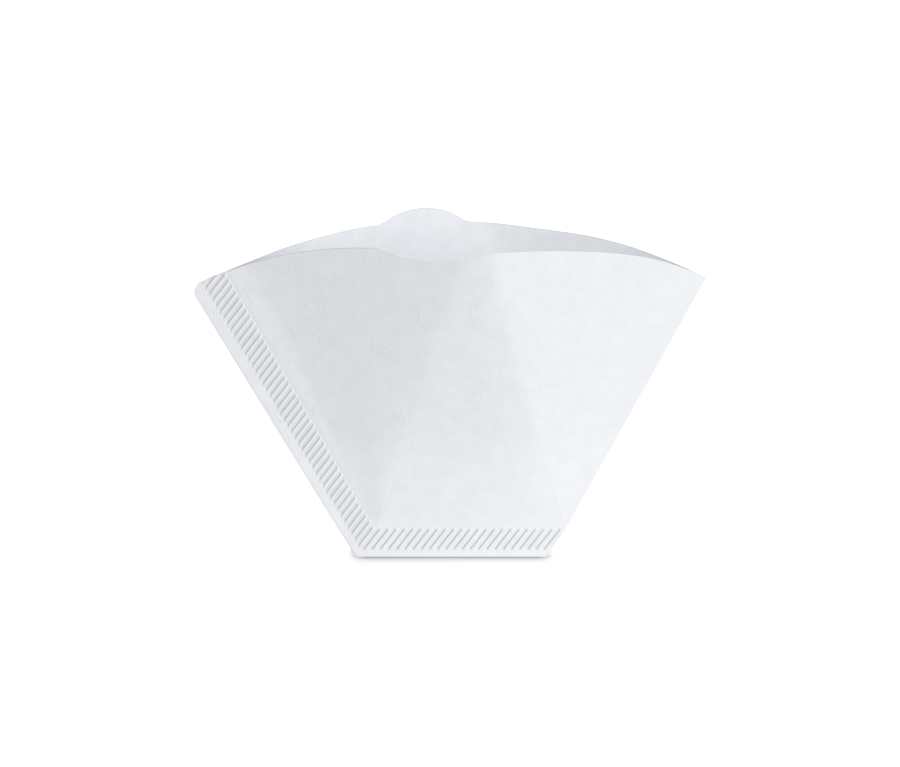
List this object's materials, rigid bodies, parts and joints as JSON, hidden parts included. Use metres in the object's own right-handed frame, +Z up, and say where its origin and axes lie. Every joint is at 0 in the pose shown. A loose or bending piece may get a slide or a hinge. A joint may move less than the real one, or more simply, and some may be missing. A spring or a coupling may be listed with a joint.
{
  "type": "paper coffee filter",
  "caption": "Cone coffee filter of one folded sheet of white paper, crimped along one side and the bottom, lying on its back with its mouth a little open.",
  "frame": {"origin": "centre of the object's bounding box in X and Y, on the surface that it lies on", "axes": "+Z up, +Y towards the open mouth, +X from the crimped side seam to the folded side"},
  "size_m": [0.1604, 0.1094, 0.0509],
  "materials": {
    "filter_paper": "matte"
  },
  "bodies": {
    "root": {"filter_paper": "filter_paper"}
  },
  "joints": []
}
